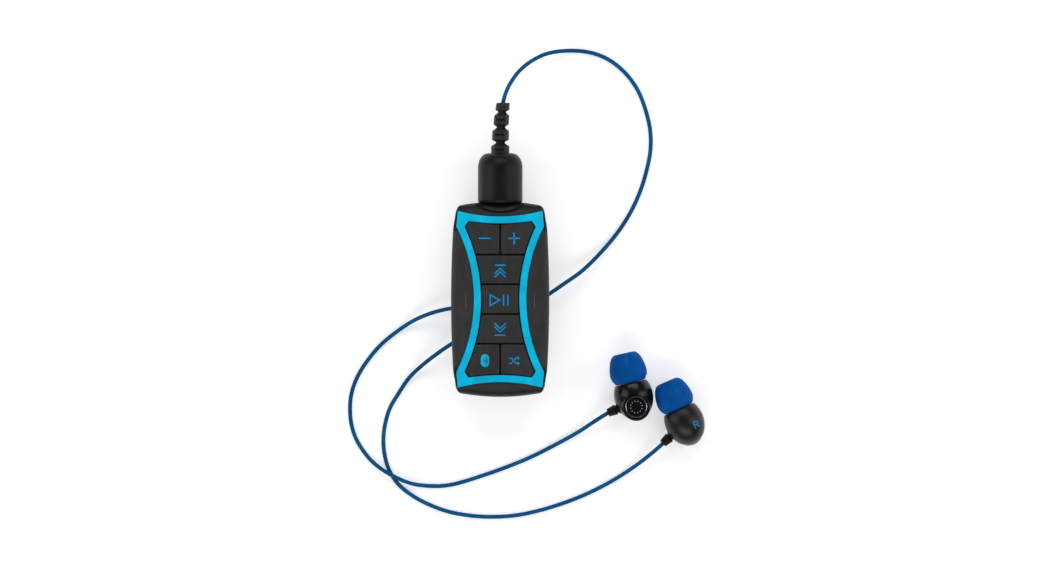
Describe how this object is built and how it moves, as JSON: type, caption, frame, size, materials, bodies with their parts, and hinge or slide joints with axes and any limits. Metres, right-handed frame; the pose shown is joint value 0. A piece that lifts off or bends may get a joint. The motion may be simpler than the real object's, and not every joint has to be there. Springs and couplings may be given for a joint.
{
  "type": "digital audio player",
  "caption": "Clip-on waterproof music player with an hourglass key frame, a thick sealed corded plug and in-ear buds on a thin split cord.",
  "frame": {"origin": "on the outer face of the clip lever, below the middle of the player, on its swivel axis", "axes": "+Z out of the key face, +Y along the player towards the headphone socket, +X to the right as the keys are read"},
  "size_m": [0.1164, 0.1536, 0.0213],
  "materials": {
    "case_black": "satin moulded ABS",
    "grip_grey": "matte overmoulded rubber",
    "bezel_blue": "satin bright cyan-blue moulding",
    "key_grey": "matte silicone keys with blue printed symbols",
    "membrane_grey": "matte silicone",
    "plug_black": "satin moulded elastomer",
    "cord_blue": "smooth satin blue jacket",
    "tip_blue": "matte royal-blue silicone",
    "bud_black": "polished black",
    "steel": "plain stainless",
    "gold": "gold-plated contact",
    "board_green": "solder-masked board",
    "chip_black": "moulded epoxy",
    "battery_silver": "foil pouch and shield"
  },
  "bodies": {
    "player": {"battery": "battery_silver", "bezel": "bezel_blue", "bud_1_boot": "plug_black", "bud_1_cap": "bud_black", "bud_1_driver": "chip_black", "bud_1_ear_tip": "tip_blue", "bud_1_housing": "bud_black", "bud_1_nozzle": "bud_black", "bud_2_boot": "plug_black", "bud_2_cap": "bud_black", "bud_2_driver": "chip_black", "bud_2_ear_tip": "tip_blue", "bud_2_housing": "bud_black", "bud_2_nozzle": "bud_black", "case_screw_1": "steel", "case_screw_2": "steel", "case_screw_3": "steel", "case_screw_4": "steel", "cord_lead_1": "cord_blue", "cord_lead_2": "cord_blue", "cord_main": "cord_blue", "cord_yoke": "plug_black", "dome_next": "steel", "dome_play": "steel", "dome_previous": "steel", "dome_shuffle": "steel", "dome_volume_down": "steel", "dome_volume_up": "steel", "dome_wireless": "steel", "front_shell": "case_black", "jack_collar": "case_black", "jack_socket": "chip_black", "keypad_mat": "membrane_grey", "main_board": "board_green", "memory_chip": "chip_black", "processor": "chip_black", "rear_shell": "case_black", "shell_gasket": "membrane_grey", "side_grip_left": "grip_grey", "side_grip_right": "grip_grey", "swivel_post": "steel", "swivel_screw": "steel", "wireless_module": "battery_silver"},
    "clip": {"clip_base": "case_black", "hinge_pin": "steel", "clip_spring": "steel"},
    "lever": {"clip_lever": "case_black"},
    "plug": {"plug_shell": "plug_black", "plug_pin": "gold", "plug_seal": "membrane_grey", "strain_relief": "plug_black"},
    "key_volume_down": {"key_volume_down": "key_grey"},
    "key_volume_up": {"key_volume_up": "key_grey"},
    "key_wireless": {"key_wireless": "key_grey"},
    "key_shuffle": {"key_shuffle": "key_grey"},
    "key_previous": {"key_previous": "key_grey"},
    "key_play": {"key_play": "key_grey"},
    "key_next": {"key_next": "key_grey"}
  },
  "joints": [
    {"name": "plug_out", "type": "slide", "parent": "player", "child": "plug", "axis": [0, 1, 0], "range_m": [0, 0.016], "deforming": ["cord_main"]},
    {"name": "clip_swivel", "type": "hinge", "parent": "player", "child": "clip", "pos_m": [0, 0, 0.0046], "axis": [0, 0, 1], "continuous": true},
    {"name": "clip_open", "type": "hinge", "parent": "clip", "child": "lever", "pos_m": [0, 0.007, 0.0026], "axis": [1, 0, 0], "range_deg": [0, 14], "stiffness_Nm_per_rad": 0.06, "springref_deg": -20.05, "deforming": ["clip_spring"]},
    {"name": "press_volume_down", "type": "slide", "parent": "player", "child": "key_volume_down", "axis": [0, 0, -1], "range_m": [0, 0.0005], "stiffness_N_per_m": 400, "springref_m": -0.00008},
    {"name": "press_volume_up", "type": "slide", "parent": "player", "child": "key_volume_up", "axis": [0, 0, -1], "range_m": [0, 0.0005], "stiffness_N_per_m": 400, "springref_m": -0.00008},
    {"name": "press_wireless", "type": "slide", "parent": "player", "child": "key_wireless", "axis": [0, 0, -1], "range_m": [0, 0.0005], "stiffness_N_per_m": 400, "springref_m": -0.00008},
    {"name": "press_shuffle", "type": "slide", "parent": "player", "child": "key_shuffle", "axis": [0, 0, -1], "range_m": [0, 0.0005], "stiffness_N_per_m": 400, "springref_m": -0.00008},
    {"name": "press_previous", "type": "slide", "parent": "player", "child": "key_previous", "axis": [0, 0, -1], "range_m": [0, 0.0005], "stiffness_N_per_m": 400, "springref_m": -0.00008},
    {"name": "press_play", "type": "slide", "parent": "player", "child": "key_play", "axis": [0, 0, -1], "range_m": [0, 0.0005], "stiffness_N_per_m": 400, "springref_m": -0.00008},
    {"name": "press_next", "type": "slide", "parent": "player", "child": "key_next", "axis": [0, 0, -1], "range_m": [0, 0.0005], "stiffness_N_per_m": 400, "springref_m": -0.00008}
  ]
}
